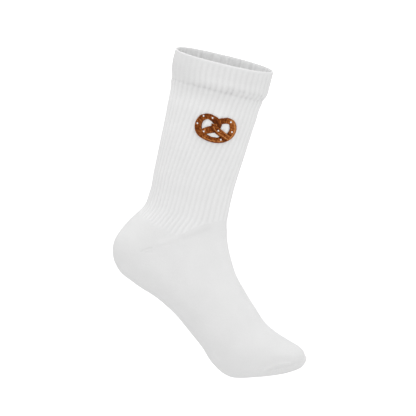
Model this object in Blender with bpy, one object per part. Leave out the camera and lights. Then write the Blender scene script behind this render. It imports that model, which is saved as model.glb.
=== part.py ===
"""A white knitted crew sock that lies on its side, shaped as on a foot, with a pretzel embroidered on it.

Metres, +Z up from the surface that the sock lies on, +Y along the leg to the opening, +X forward to the toes.
The origin is under the middle of the bounding box. The sock is one hollow tube, closed at the toe.
"""

import math

import bmesh
import bpy
import numpy as np
from mathutils import Vector
from mathutils.bvhtree import BVHTree

MM = 0.001

# Sections across the tube, from the opening to the toes, in mm: the back or sole edge (x, y), the front or
# instep edge (x, y), half of the thickness, the height of the section's middle above the table, and how far
# from the back edge it is thickest, as a share of its width. The last one is the point of the toe.
SECTIONS = (
    ("opening", (-101.4, 156.4), (3.9, 158.2), 35.0, 35.0, 0.50),
    ("middle of the cuff", (-100.8, 139.9), (3.7, 143.4), 34.6, 34.6, 0.50),
    ("hem of the cuff", (-97.5, 126.0), (3.0, 130.8), 34.0, 34.0, 0.50),
    ("top of the leg", (-96.4, 121.8), (0.7, 125.6), 32.2, 32.2, 0.49),
    ("upper leg", (-94.5, 98.2), (-1.6, 101.2), 31.4, 31.4, 0.49),
    ("middle of the leg", (-92.8, 62.6), (-3.2, 65.0), 30.5, 30.5, 0.48),
    ("lower leg", (-91.3, 27.3), (-5.0, 30.2), 29.3, 29.3, 0.47),
    ("ankle", (-90.1, 0.6), (-4.2, 4.0), 28.6, 28.8, 0.46),
    ("tendon", (-92.3, -13.1), (-3.1, -8.6), 28.5, 28.8, 0.45),
    ("top of the heel", (-103.6, -31.6), (-1.2, -16.0), 29.2, 29.4, 0.42),
    ("back of the heel", (-113.3, -56.6), (0.8, -23.3), 30.2, 30.4, 0.40),
    ("turn of the heel", (-110.6, -72.0), (3.6, -30.0), 30.8, 30.9, 0.40),
    ("under the heel", (-102.0, -83.9), (6.9, -37.0), 31.2, 31.4, 0.41),
    ("start of the sole", (-84.6, -92.6), (11.1, -45.1), 31.8, 32.0, 0.42),
    ("start of the arch", (-57.8, -101.8), (17.9, -56.1), 32.9, 33.0, 0.44),
    ("arch", (-32.2, -114.7), (32.2, -72.0), 34.2, 34.2, 0.45),
    ("middle of the foot", (-12.2, -128.8), (46.5, -85.7), 35.8, 35.8, 0.45),
    ("back of the ball", (4.3, -141.2), (62.7, -100.2), 37.3, 37.3, 0.46),
    ("ball", (18.6, -154.4), (80.0, -108.4), 37.8, 37.8, 0.47),
    ("front of the ball", (38.4, -163.8), (93.6, -112.6), 36.6, 37.2, 0.48),
    ("toes", (69.6, -156.1), (105.3, -116.6), 31.0, 36.0, 0.49),
    ("end of the toes", (96.2, -145.7), (111.1, -122.2), 20.0, 35.2, 0.50),
    ("point of the toe", (114.0, -130.0), (114.0, -130.0), 0.0, 35.0, 0.50),
)
HEM = 2  # the section where the cuff ends
TIP_LEAN = math.radians(80.0)  # direction in which the last sections close
TIP_BLUNTNESS = 2.5  # how square the point of the toe is, where 2 is an ellipse
BACK_POWER = 2.45  # squareness of the back half of a section, where 2 is an ellipse
FRONT_POWER = 2.15  # squareness of the front half
OPENING_SLANT = 2.5 * MM  # how far the upper side of the opening dips, and its underside rises
SINK = 1.3 * MM  # how far the knit flattens on the surface that it lies on
WALL = 2.0 * MM  # terry knit
LIP_ROUND = 0.8 * MM  # rounding of the folded edge of the opening
AROUND = 38  # points round the tube
RING_STEP = 10.0 * MM  # longest edge along the tube
TIP_RINGS = 6  # sections that round the point of the toe

# The pretzel as it lies flat, in mm: places along its strands (x along its width, y up) and the width there.
# The ring starts at the notch between the lobes and goes round by the left one.
MOTIF_CENTRE = (-40.8, 88.3)
MOTIF_TURN = math.radians(5.5)
MOTIF_RING = (
    (1.6, 7.0, 7.4),
    (-3.4, 9.3, 7.2),
    (-8.3, 10.9, 6.1),
    (-15.2, 8.5, 6.8),
    (-18.2, 1.0, 7.5),
    (-16.1, -6.2, 7.0),
    (-7.8, -11.0, 6.2),
    (2.5, -12.4, 6.0),
    (10.0, -10.5, 6.6),
    (15.9, -5.6, 7.0),
    (18.1, 2.0, 7.1),
    (15.6, 7.8, 7.0),
    (10.7, 9.3, 6.6),
    (5.6, 8.1, 6.6),
)
UNDER_ARM = (
    (3.0, 6.5, 6.0),
    (2.9, 3.0, 6.0),
    (1.2, -0.3, 7.0),
    (-4.8, -2.2, 7.8),
    (-10.5, -4.6, 7.0),
    (-14.5, -6.2, 6.0),
)
OVER_ARM = (
    (-2.5, 4.2, 4.4),
    (-0.7, 0.8, 6.2),
    (3.6, -3.1, 7.0),
    (9.8, -6.6, 6.6),
    (14.6, -8.8, 6.0),
)
STRAND_HEIGHT = 1.5
STRAND_FOOT = 0.25  # height at which a strand is widest
STRAND_SIDES = 10
STRAND_STEP = 1.9  # distance between sections of a strand
OVER_ARM_LIFT = 0.5  # the arm on top stands this much higher
UNDER_ARM_LIFT = 0.15
STITCH_GAP = 0.35  # clearance between pieces that touch
ABOVE_STRANDS = 6.0 * MM  # a height over the knit that no strand reaches

# White salt knots on the pretzel, in the pretzel's own mm
SALT_PLACES = (
    (-14.1, 11.0),
    (-4.7, 10.4),
    (-19.1, 2.5),
    (14.2, 8.8),
    (-11.5, -4.9),
    (3.0, -1.8),
    (16.8, -1.3),
    (6.9, -10.9),
)
SALT_WIDTH = 1.9 * MM
SALT_HEIGHT = 0.9 * MM


def clear_scene():
    for old in list(bpy.data.objects):
        bpy.data.objects.remove(old, do_unlink=True)


def material(name, colour, roughness):
    made = bpy.data.materials.new(name)
    made.use_nodes = True
    shader = made.node_tree.nodes["Principled BSDF"]
    shader.inputs["Base Color"].default_value = (*colour, 1.0)
    shader.inputs["Roughness"].default_value = roughness
    shader.inputs["Metallic"].default_value = 0.0
    return made


def add_object(name, mesh_maker, finish):
    """Turns a bmesh into a smooth-shaded object with its material."""
    mesh = bpy.data.meshes.new(name)
    mesh_maker.to_mesh(mesh)
    mesh_maker.free()
    mesh.materials.append(finish)
    mesh.shade_smooth()
    made = bpy.data.objects.new(name, mesh)
    bpy.context.scene.collection.objects.link(made)
    return made


def smooth_values(values, knots, at):
    """Values between the given rows, on a smooth curve that passes through each row at its knot."""
    steps = np.diff(knots)[:, None]
    slopes = np.diff(values, axis=0) / steps
    inner = (slopes[:-1] * steps[1:] + slopes[1:] * steps[:-1]) / (steps[:-1] + steps[1:])
    tangents = np.vstack((slopes[:1], inner, slopes[-1:]))
    cell = np.clip(np.searchsorted(knots, at, side="right") - 1, 0, len(steps) - 1)
    width = steps[cell]
    share = (at - knots[cell])[:, None] / width
    left = 1.0 - share
    start = values[cell] * (1.0 + 2.0 * share) + tangents[cell] * width * share
    end = values[cell + 1] * (1.0 + 2.0 * left) - tangents[cell + 1] * width * left
    return start * left**2 + end * share**2


def section_rows():
    """A row for each section: middle x and y, lean, half width, half thickness, height, widest place, slant.

    The halves are raised to TIP_BLUNTNESS, so that they shrink to nothing as a round end does.
    """
    opening_y = SECTIONS[0][1][1]
    hem_y = SECTIONS[HEM][1][1]
    rows = []
    for _, back, front, half_thickness, height, widest in SECTIONS:
        across = np.subtract(front, back) * MM
        middle = np.add(front, back) * 0.5 * MM
        half_width = 0.5 * float(np.hypot(*across))
        lean = math.atan2(across[1], across[0]) if half_width > 0.0 else TIP_LEAN
        sizes = np.array((half_width, half_thickness * MM)) ** TIP_BLUNTNESS
        slant = OPENING_SLANT * max(back[1] - hem_y, 0.0) / (opening_y - hem_y)
        rows.append((*middle, lean, *sizes, height * MM, widest, slant))
    return np.array(rows)


def ring_positions():
    """Where the rings lie along the tube: at every section, and between them at most RING_STEP apart."""
    edges = np.array([(*back, *front) for _, back, front, *_ in SECTIONS]) * MM
    moves = np.diff(edges, axis=0)
    back_moves = np.hypot(moves[:, 0], moves[:, 1])
    front_moves = np.hypot(moves[:, 2], moves[:, 3])
    knots = np.concatenate(([0.0], np.cumsum(0.5 * (back_moves + front_moves))))
    places = []
    for k, longest in enumerate(np.maximum(back_moves, front_moves)[:-1]):
        count = math.ceil(longest / RING_STEP)
        places.extend(knots[k] + (knots[k + 1] - knots[k]) * np.arange(count) / count)
    # The rings crowd towards the point of the toe, where the outline turns round.
    last = np.arange(TIP_RINGS + 1) / TIP_RINGS
    places.extend(knots[-2] + (knots[-1] - knots[-2]) * (1.0 - (1.0 - last) ** 2))
    return knots, np.array(places)


def ring_points(row):
    """Points round one section: an egg-shaped superellipse that is flattened where it meets the table."""
    x, y, lean, raised_width, raised_thickness, height, widest, slant = row
    half_width = max(raised_width, 0.0) ** (1.0 / TIP_BLUNTNESS)
    half_thickness = max(raised_thickness, 0.0) ** (1.0 / TIP_BLUNTNESS)
    widest_at = half_width * (2.0 * widest - 1.0)
    points = []
    for k in range(AROUND):
        angle = 2.0 * math.pi * k / AROUND
        forward = math.cos(angle) >= 0.0
        power = 2.0 / (FRONT_POWER if forward else BACK_POWER)
        reach = half_width - widest_at if forward else half_width + widest_at
        along = widest_at + math.copysign(reach * abs(math.cos(angle)) ** power, math.cos(angle))
        side = math.copysign(abs(math.sin(angle)) ** power, math.sin(angle))
        level = max(height + half_thickness * side - SINK, 0.0)
        points.append((x + along * math.cos(lean), y + along * math.sin(lean) - slant * side, level))
    return points


def sock_surface():
    """The outer face of the tube as a bmesh, open at the cuff."""
    knots, places = ring_positions()
    rows = smooth_values(section_rows(), knots, places)
    shape = bmesh.new()
    rings = [[shape.verts.new(point) for point in ring_points(row)] for row in rows[:-1]]
    for ring, following in zip(rings, rings[1:]):
        for k in range(AROUND):
            after = (k + 1) % AROUND
            shape.faces.new((ring[k], ring[after], following[after], following[k]))
    x, y, _, _, _, height, _, _ = rows[-1]
    tip = shape.verts.new((x, y, height - SINK))
    for k in range(AROUND):
        shape.faces.new((rings[-1][k], rings[-1][(k + 1) % AROUND], tip))
    return shape


def centre_on_origin(shape):
    """Moves the surface so that its bounding box stands on the origin."""
    corners = np.array([v.co for v in shape.verts])
    low = corners.min(axis=0)
    high = corners.max(axis=0)
    shift = Vector((-0.5 * (low[0] + high[0]), -0.5 * (low[1] + high[1]), -low[2]))
    bmesh.ops.translate(shape, verts=shape.verts, vec=shift)
    return shift


def give_wall(sock):
    wall = sock.modifiers.new("wall", "SOLIDIFY")
    wall.thickness = WALL
    wall.offset = -1.0
    wall.use_even_offset = True
    lip = sock.modifiers.new("lip", "BEVEL")
    lip.width = LIP_ROUND
    lip.segments = 2
    lip.limit_method = "ANGLE"
    lip.angle_limit = math.radians(70.0)


def strand_path(route, closed):
    """Places STRAND_STEP apart on a smooth curve through the given ones, with half widths and directions."""
    route = np.array(route)
    if closed:
        route = np.vstack((route[-2:], route, route[:3]))
    knots = np.concatenate(([0.0], np.cumsum(np.hypot(*np.diff(route[:, :2], axis=0).T))))
    start, end = (knots[2], knots[-3]) if closed else (knots[0], knots[-1])
    count = round((end - start) / STRAND_STEP)
    at = start + (end - start) * np.arange(count + (0 if closed else 1)) / count
    nudge = 0.01 * STRAND_STEP
    ahead = smooth_values(route, knots, np.minimum(at + nudge, knots[-1]))
    behind = smooth_values(route, knots, np.maximum(at - nudge, knots[0]))
    direction = (ahead - behind)[:, :2]
    here = smooth_values(route, knots, at)
    return here[:, :2], 0.5 * here[:, 2], direction / np.hypot(*direction.T)[:, None]


def strand(route, closed, lift):
    """One strand of the pretzel, lying flat: a low rounded tube, in metres."""
    shape = bmesh.new()
    rings = []
    for (x, y), half_width, (along_x, along_y) in zip(*strand_path(route, closed)):
        ring = []
        for k in range(STRAND_SIDES):
            angle = 2.0 * math.pi * k / STRAND_SIDES
            across = half_width * math.cos(angle)
            reach = STRAND_HEIGHT - STRAND_FOOT if math.sin(angle) > 0.0 else STRAND_FOOT
            rise = lift + STRAND_FOOT + reach * math.sin(angle)
            place = (x - along_y * across, y + along_x * across, rise)
            ring.append(shape.verts.new(Vector(place) * MM))
        rings.append(ring)
    pairs = list(zip(rings, rings[1:]))
    if closed:
        pairs.append((rings[-1], rings[0]))
    for ring, following in pairs:
        for k in range(STRAND_SIDES):
            after = (k + 1) % STRAND_SIDES
            shape.faces.new((ring[k], following[k], following[after], ring[after]))
    if not closed:
        shape.faces.new(rings[0])
        shape.faces.new(rings[-1][::-1])
    bmesh.ops.recalc_face_normals(shape, faces=shape.faces)
    return shape


def flat_pretzel(finish):
    """The closed ring and the two arms, joined into one flat solid."""
    pretzel = add_object("pretzel_embroidery", strand(MOTIF_RING, True, 0.0), finish)
    arms = bpy.data.collections.new("arms")
    bpy.context.scene.collection.children.link(arms)
    for name, route, lift in (
        ("over_arm", OVER_ARM, OVER_ARM_LIFT),
        ("under_arm", UNDER_ARM, UNDER_ARM_LIFT),
    ):
        arm = add_object(name, strand(route, False, lift), finish)
        bpy.context.scene.collection.objects.unlink(arm)
        arms.objects.link(arm)
    join = pretzel.modifiers.new("join", "BOOLEAN")
    join.operation = "UNION"
    join.operand_type = "COLLECTION"
    join.collection = arms
    join.solver = "EXACT"
    bpy.context.view_layer.update()
    joined = bpy.data.meshes.new_from_object(pretzel.evaluated_get(bpy.context.evaluated_depsgraph_get()))
    pretzel.modifiers.clear()
    pretzel.data = joined
    for arm in list(arms.objects):
        bpy.data.objects.remove(arm, do_unlink=True)
    bpy.data.collections.remove(arms)
    return pretzel


def surface_point(tree, x, y):
    """The point of the surface under (x, y), and the smoothed way out of the knit there."""
    reach = 3.0 * MM
    down = Vector((0.0, 0.0, -1.0))

    def level(px, py):
        return tree.ray_cast(Vector((px, py, 1.0)), down)[0].z

    slope_x = (level(x + reach, y) - level(x - reach, y)) / (2.0 * reach)
    slope_y = (level(x, y + reach) - level(x, y - reach)) / (2.0 * reach)
    return Vector((x, y, level(x, y))), Vector((-slope_x, -slope_y, 1.0)).normalized()


def onto_leg(place, shift):
    """From the pretzel's own flat metres to the leg's x and y."""
    turn_cos = math.cos(MOTIF_TURN)
    turn_sin = math.sin(MOTIF_TURN)
    x = MOTIF_CENTRE[0] * MM + place[0] * turn_cos - place[1] * turn_sin + shift.x
    y = MOTIF_CENTRE[1] * MM + place[0] * turn_sin + place[1] * turn_cos + shift.y
    return x, y


def lay_on_leg(pretzel, tree, shift):
    """Bends the flat pretzel over the leg, STITCH_GAP clear of it."""
    for vertex in pretzel.data.vertices:
        point, outward = surface_point(tree, *onto_leg(vertex.co, shift))
        vertex.co = point + outward * (vertex.co.z + STITCH_GAP * MM)
    pretzel.data.shade_smooth()


def salt_knot(number, place, leg, strands, shift, finish):
    """One white knot that sits on the top of a strand."""
    under, outward = surface_point(leg, *onto_leg((place[0] * MM, place[1] * MM), shift))
    point = strands.ray_cast(under + outward * ABOVE_STRANDS, -outward)[0]
    shape = bmesh.new()
    bmesh.ops.create_uvsphere(shape, u_segments=8, v_segments=6, radius=0.5)
    bmesh.ops.scale(shape, verts=shape.verts, vec=(SALT_WIDTH, SALT_WIDTH, SALT_HEIGHT))
    made = add_object(f"salt_knot_{number}", shape, finish)
    made.location = point + outward * (0.5 * SALT_HEIGHT + STITCH_GAP * MM)
    made.rotation_euler = outward.to_track_quat("Z", "Y").to_euler()
    return made


def main():
    clear_scene()
    white_knit = material("white_knit", (0.76, 0.76, 0.77), 0.92)
    brown_thread = material("brown_thread", (0.27, 0.085, 0.018), 0.55)
    white_thread = material("white_thread", (0.86, 0.85, 0.84), 0.55)
    surface = sock_surface()
    shift = centre_on_origin(surface)
    leg = BVHTree.FromBMesh(surface)
    give_wall(add_object("sock", surface, white_knit))
    pretzel = flat_pretzel(brown_thread)
    lay_on_leg(pretzel, leg, shift)
    stitched = bmesh.new()
    stitched.from_mesh(pretzel.data)
    strands = BVHTree.FromBMesh(stitched)
    stitched.free()
    for number, place in enumerate(SALT_PLACES, start=1):
        salt_knot(number, place, leg, strands, shift, white_thread)


main()
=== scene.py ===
"""The looks of a white crew sock with a pretzel embroidered on its leg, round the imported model.

The sock is one knitted tube: a folded cuff with its hem, a ribbed leg, a plain heel and foot, and a seamed
toe. The pretzel is rows of brown thread over a padding, with white knots for its salt. Lengths are in metres
where nothing else is said.
"""
import math

import bpy
import numpy as np
from mathutils import Matrix, Vector
from mathutils.bvhtree import BVHTree


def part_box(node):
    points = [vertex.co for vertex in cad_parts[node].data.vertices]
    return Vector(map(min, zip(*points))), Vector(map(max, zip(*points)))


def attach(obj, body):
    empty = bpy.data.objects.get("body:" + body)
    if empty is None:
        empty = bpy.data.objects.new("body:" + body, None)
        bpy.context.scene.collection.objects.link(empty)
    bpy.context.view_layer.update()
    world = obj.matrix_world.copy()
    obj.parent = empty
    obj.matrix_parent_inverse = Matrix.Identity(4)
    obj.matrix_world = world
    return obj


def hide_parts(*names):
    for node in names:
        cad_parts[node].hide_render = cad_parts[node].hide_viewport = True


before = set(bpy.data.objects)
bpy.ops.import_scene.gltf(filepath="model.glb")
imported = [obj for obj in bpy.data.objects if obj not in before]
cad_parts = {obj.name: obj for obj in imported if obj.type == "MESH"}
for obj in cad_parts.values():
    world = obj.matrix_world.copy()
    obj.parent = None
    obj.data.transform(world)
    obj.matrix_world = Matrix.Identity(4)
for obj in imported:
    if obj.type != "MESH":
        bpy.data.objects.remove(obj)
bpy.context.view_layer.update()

MM = 0.001

# Camera: it looks down on the lying sock, turned and tilted a little towards its opening
CAMERA_DISTANCE = 4.0
PIXEL = 1.05 * MM  # size of a pixel at the target
PHOTO_WIDTH = 416  # pixels
SENSOR_WIDTH = 36.0  # mm
CAMERA_TURN = math.radians(14.5)
CAMERA_TILT = math.radians(6.3)
CAMERA_TARGET = (-26.6, 2.4, 33.0)  # mm, on the outline given below

# Floor and light
FLOOR_HALF = 12.0
FLOOR_DEPTH = 0.5 * MM  # below the sock
FLOOR_GLOW = 0.5
ROOM_BRIGHTNESS = 0.975
ROOM_DARKEST = 0.76  # beyond the sole
ROOM_DARK_EDGE = -0.52  # where the dark side ends, from -1 beyond the sole to 1 on the opposite side
ROOM_TURN = math.radians(32.0)  # from the picture's bottom to its left
LAMPS = (  # name, place, target, size and power; the fill shines into the opening from beyond it
    ("key", (1.6, 0.3, 0.9), (0.0, 0.0, 0.0), 1.0, 0.4),
    ("fill", (-0.15, 0.60, 0.16), (-0.05, 0.13, 0.02), 0.25, 0.75),
)

# Sections across the tube, from the opening to the toes, in mm: the back or sole edge (x, y), the front or
# instep edge (x, y), half of the thickness, the height of the section's middle above the table, and how far
# from the back edge it is thickest, as a share of its width. The last one is the point of the toe.
SECTIONS = (
    ("opening", (-101.4, 156.4), (3.9, 158.2), 35.0, 35.0, 0.50),
    ("middle of the cuff", (-100.8, 139.9), (3.7, 143.4), 34.6, 34.6, 0.50),
    ("hem of the cuff", (-97.5, 126.0), (3.0, 130.8), 34.0, 34.0, 0.50),
    ("top of the leg", (-96.4, 121.8), (0.7, 125.6), 32.2, 32.2, 0.49),
    ("upper leg", (-94.5, 98.2), (-1.6, 101.2), 31.4, 31.4, 0.49),
    ("middle of the leg", (-92.8, 62.6), (-3.2, 65.0), 30.5, 30.5, 0.48),
    ("lower leg", (-91.3, 27.3), (-5.0, 30.2), 29.3, 29.3, 0.47),
    ("ankle", (-90.1, 0.6), (-4.2, 4.0), 28.6, 28.8, 0.46),
    ("tendon", (-92.3, -13.1), (-3.1, -8.6), 28.5, 28.8, 0.45),
    ("top of the heel", (-103.6, -31.6), (-1.2, -16.0), 29.2, 29.4, 0.42),
    ("back of the heel", (-113.3, -56.6), (0.8, -23.3), 30.2, 30.4, 0.40),
    ("turn of the heel", (-110.6, -72.0), (3.6, -30.0), 30.8, 30.9, 0.40),
    ("under the heel", (-102.0, -83.9), (6.9, -37.0), 31.2, 31.4, 0.41),
    ("start of the sole", (-84.6, -92.6), (11.1, -45.1), 31.8, 32.0, 0.42),
    ("start of the arch", (-57.8, -101.8), (17.9, -56.1), 32.9, 33.0, 0.44),
    ("arch", (-32.2, -114.7), (32.2, -72.0), 34.2, 34.2, 0.45),
    ("middle of the foot", (-12.2, -128.8), (46.5, -85.7), 35.8, 35.8, 0.45),
    ("back of the ball", (4.3, -141.2), (62.7, -100.2), 37.3, 37.3, 0.46),
    ("ball", (18.6, -154.4), (80.0, -108.4), 37.8, 37.8, 0.47),
    ("front of the ball", (38.4, -163.8), (93.6, -112.6), 36.6, 37.2, 0.48),
    ("toes", (69.6, -156.1), (105.3, -116.6), 31.0, 36.0, 0.49),
    ("end of the toes", (96.2, -145.7), (111.1, -122.2), 20.0, 35.2, 0.50),
    ("point of the toe", (114.0, -130.0), (114.0, -130.0), 0.0, 35.0, 0.50),
)
HEM, ANKLE, SOLE, FOREFOOT = 2, 7, 13, 19  # sections at the hem and where finer rows begin and end
TIP_LEAN = math.radians(80.0)  # direction in which the last sections close
TIP_BLUNTNESS = 2.5  # how square the point of the toe is, where 2 is an ellipse
BACK_POWER = 2.45  # squareness of the back half of a section
FRONT_POWER = 2.15  # squareness of the front half
OPENING_SLANT = 2.5 * MM  # how far the upper side of the opening dips, and its underside rises
SINK = 1.3 * MM  # how far the knit flattens on the table
FLOOR_SOFTNESS = 0.5 * MM  # rounding where the knit meets the table

# The knitted tube
RIBS = 46
WALES_PER_RIB = 4
COLUMNS_PER_RIB = 7
BACK_CROWDING = 0.30  # how much closer the ribs stand at the back of the ankle than at the hem
ROW_STEP = 3.4 * MM
FINE_ROW_STEP = 1.25 * MM  # in the heel and the toe, where creases cross the rows
HEM_ROW_STEP = 0.5 * MM
HEM_ROWS_START = -3.0 * MM  # from the section at the hem, along the tube
HEM_ROWS_END = 6.0 * MM
INNER_ROW_STEP = 12.0 * MM
NEAR_LIP_ROWS = (4.0 * MM, 8.0 * MM)  # two more rows of the inner face, near the opening
INNER_REACH = 90.0 * MM  # depth at which the painted shade of the inside gets its darkest
TIP_ROWS = 14
FINE_ANGLES = 720  # points on which each section is measured
LIP_DROP = 0.35 * MM  # from the tube's end to its fold
LIP_ROWS = 5
WALL = 2.0 * MM
COURSE = 1.05 * MM  # height of a row of stitches
MEAN_STITCH_HEIGHT = 0.45  # of the stitches, and their even height at the toe's point
STITCH_FADE = (2.0 * MM, 12.0 * MM)  # radii of the rings between which they get their full relief
STITCH_SLANT = 1.2  # twice the rows that a stitch climbs from its column's middle to its edge
ROW_DEPTH = 0.3  # how much the rows of stitches show
YARN_ROUNDNESS = 0.5  # 1 for a wave, less for a fuller yarn
KNIT_BUMP = 0.25 * MM

# Relief of the knit, in mm
RIB_HEIGHT = 0.70
CUFF_RIB_HEIGHT = 0.55
INNER_RIB_HEIGHT = 0.30
RIB_ROUNDNESS = 1.5  # 1 for sharp furrows, 2 for a wave
SUNK_SHARE = 0.7  # share of a rib's height that lies under the plain tube
FOLD_FADE = 5.0  # length over which the ribs rise from the folded edge
RIB_END_FADE = 3.0  # length over which they sink into the plain heel and foot
RIB_END_JITTER = 0.8
RIB_END_SEED = 3
RIB_END_X = (-100.0, -88.0, -61.1, -51.7, -24.3, -5.4)  # the ribs end in a notch that points down at the heel
RIB_END_Y = (-20.0, -24.6, -30.8, -32.6, -12.4, -6.0)
HEM_DROP = 4.6  # how much lower the hem's seam runs at the front edge than at the back edge
HEM_SEAM = ((0.20, -1.0), (-0.15, 0.9))  # heights of its welt and its groove, and how far below it they run
SEAM_WIDTH = 0.9
FURROW_WIDTH = 0.9  # how far up a rib the hem's stitches pull, where 1 is its ridge
HEM_STITCH_DEPTH = 0.9
HEM_STITCH_LENGTH = (2.7, 1.7)  # above and below the seam
HEM_PULL = (0.3, 0.95)  # weakest and strongest pull of a stitch
HEM_JITTER = 0.8
HEM_SEED = 5
UPPER_STITCHES = 5.2  # how far above the hem its fainter second row of stitches runs
UPPER_PULL = (-0.5, 0.7)  # a stitch whose pull is below 0 doesn't show
HEM_SLOPE = 1.2  # how far the leg's knit is lifted under the hem
HEM_SLOPE_START = 4.5
HEM_SLOPE_LENGTH = 30.0
BACK_START = -60.0  # x from which the cuff's ribs and seam get fainter, towards the back
BACK_REACH = 30.0
BACK_RIB_FADE = 0.5
BACK_SEAM_FADE = 0.6
FLATTENED_SHARE = 0.85  # how much of the ribs' height the embroidery takes
FLATTENED_REACH = 1.2  # distance from its edge at which this ends
FLATTENED_FADE = 2.4
UPPER_SIDE = 40.0  # lowest height on the side that carries the pretzel
MOTIF_REACH = 40.0  # distance from the pretzel's middle up to which it changes the knit
FAR_AWAY = 99.0
HOLE_PUFF = 0.9  # height to which the knit swells in the holes of the pretzel
HOLE_EDGE = 1.6  # length over which it swells
HOLES_REACH = 16.0  # farthest place of a hole from the pretzel's middle
HOLES_FADE = 2.0
SOFTNESS = 0.22  # height of the knit's slow unevenness
SOFTNESS_LENGTH = 26.0
SOFTNESS_SEED = 11
RIB_STIFFNESS = 0.6  # how much evener the ribbed knit is
UNEVEN_WAVES = 9  # waves that make up a slow unevenness
WAVE_LENGTHS = (0.6, 1.6)  # their shortest and longest, as shares of the wanted one
WAVE_GAIN = 0.6

# Painted light and shade in the knit's colour, from 0 to 1, and what makes it more or less so
PLAIN_PAINTED_LIGHT = 0.67
# more painted light where the knit is ribbed
RIBBED_PAINTED_LIGHT = 0.11
RIDGE_PAINTED_LIGHT = 0.27  # painted light on the ridges and painted shade in the furrows, for each mm of a rib's height
# painted light in the pretzel's holes
PUFF_PAINTED_LIGHT = 0.30
# painted shade in the hem's stitches and in the creases
STITCH_SHADE = 0.30
CREASE_SHADE = 0.14
CUFF_PAINTED_SHADE = 0.14  # painted shade on the cuff's knit, twice as much at its back
CUFF_SHADE_START = 12.0  # mm below the hem where this begins
CUFF_SHADE_REACH = 24.0  # mm over which it grows, up the leg and the cuff
# painted light on the folded edge, dimmed to damp its highlight
LIP_PAINTED_LIGHT = 0.55
TOE_PAINTED_LIGHT = 0.6  # at the point of the toe
# Painted shade on the inner face, along its ribs and in streaks of random columns
INNER_RIB_SHADE = 0.15
INNER_STREAKS = 0.3
STREAK_COLUMNS = 2
STREAK_SEED = 13

# Creases on both sides of the sock, in mm: depth, half width and line. A negative depth is a welt.
CREASES = (
    (0.55, 3.6, ((-44.0, -32.5), (-38.5, -29.4), (-31.3, -24.4), (-22.0, -19.0))),
    (0.12, 1.2, ((-69.0, -47.5), (-63.2, -45.1), (-56.6, -41.0))),
    (-0.35, 2.6, ((-67.0, -43.0), (-60.0, -38.0), (-52.0, -33.5))),
    (0.50, 0.8, ((-84.5, -57.4), (-80.0, -53.4), (-74.0, -50.3))),
    (0.35, 0.8, ((-80.0, -57.0), (-76.5, -55.2), (-73.0, -53.9))),
    (-0.60, 1.4, ((71.0, -143.4), (76.4, -139.6), (82.2, -135.8), (87.2, -133.4), (95.9, -131.2))),
    (0.45, 1.3, ((73.0, -146.0), (81.2, -141.7), (87.7, -137.7), (95.6, -134.8), (106.6, -129.4))),
    (0.30, 2.6, ((78.0, -130.5), (86.0, -128.0), (92.0, -127.0))),
)

# The pretzel as it lies flat, in mm: places along its strands (x along its width, y up) and the width there.
# The ring starts at the notch between the lobes and goes round by the left one.
MOTIF_CENTRE = (-40.8, 88.3)
MOTIF_TURN = math.radians(5.5)
MOTIF_RING = (
    (1.6, 7.0, 7.4), (-3.4, 9.3, 7.2), (-8.3, 10.9, 6.1), (-15.2, 8.5, 6.8), (-18.2, 1.0, 7.5),
    (-16.1, -6.2, 7.0), (-7.8, -11.0, 6.2), (2.5, -12.4, 6.0), (10.0, -10.5, 6.6), (15.9, -5.6, 7.0),
    (18.1, 2.0, 7.1), (15.6, 7.8, 7.0), (10.7, 9.3, 6.6), (5.6, 8.1, 6.6),
)
UNDER_ARM = (
    (3.0, 6.5, 6.0), (2.9, 3.0, 6.0), (1.2, -0.3, 7.0), (-4.8, -2.2, 7.8), (-10.5, -4.6, 7.0),
    (-14.5, -6.2, 6.0),
)
OVER_ARM = (
    (-2.5, 4.2, 4.4), (-0.7, 0.8, 6.2), (3.6, -3.1, 7.0), (9.8, -6.6, 6.6), (14.6, -8.8, 6.0),
)
STRAND_HEIGHT = 1.5
OVER_ARM_LIFT = 0.5  # the arm on top stands this much higher
STRANDS = (  # from the lowest to the highest: name, route, whether closed, and lift
    ("ring", MOTIF_RING, True, 0.0),
    ("under arm", UNDER_ARM, False, 0.15),
    ("over arm", OVER_ARM, False, OVER_ARM_LIFT),
)
DOME_SIDES = 2.4  # how steep the sides of a strand are
DOME_TOP = 0.6  # how round its top is, where 1 is pointed
STITCH_GAP = 0.35  # height of a strand's foot over the plain tube
SLOPE_REACH = 3.0 * MM  # half the length over which the leg's slope is taken

# Threads, in mm
THREAD_SIDES = 6
SATIN_RADIUS = 0.25
SATIN_STEP = 0.44
SATIN_POINTS = 9
SATIN_SLANT = 0.9  # how far a stitch leans along the strand
SATIN_UNEVENNESS = 0.35
SLANT_SPREAD = 0.12
SATIN_TUCK = 0.55  # how far the ends of a stitch dive
TUCK_SHARPNESS = 8
THICKNESS_RANGE = (0.90, 1.10)
LINE_RADIUS = 0.27
LINE_STITCH = 3.5
LINE_STEP = 0.5
LINE_PITCH = 1.8  # from thread to thread, in radii
LINE_LEAN = 0.25  # how far a stitch crosses the strand along its length
LINE_LIFT = 0.14
LINE_ARCH = 0.16  # how much higher the middle of a stitch is than its ends
FEWEST_POINTS = 3
PADDING_STEP = 1.2
PADDING_SIDES = 12
PADDING_SHARE = 0.93  # width of the padding as a share of the strand's
PADDING_DEPTH = 0.12  # from the threads down to it
PADDING_FOOT = 0.45  # how far its foot reaches below the threads' foot
CLOSING_STEP = 0.2  # length counted for the step that closes a ring of thread
PLY_HEIGHT = 0.08
THREADS_SEED = 7

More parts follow.
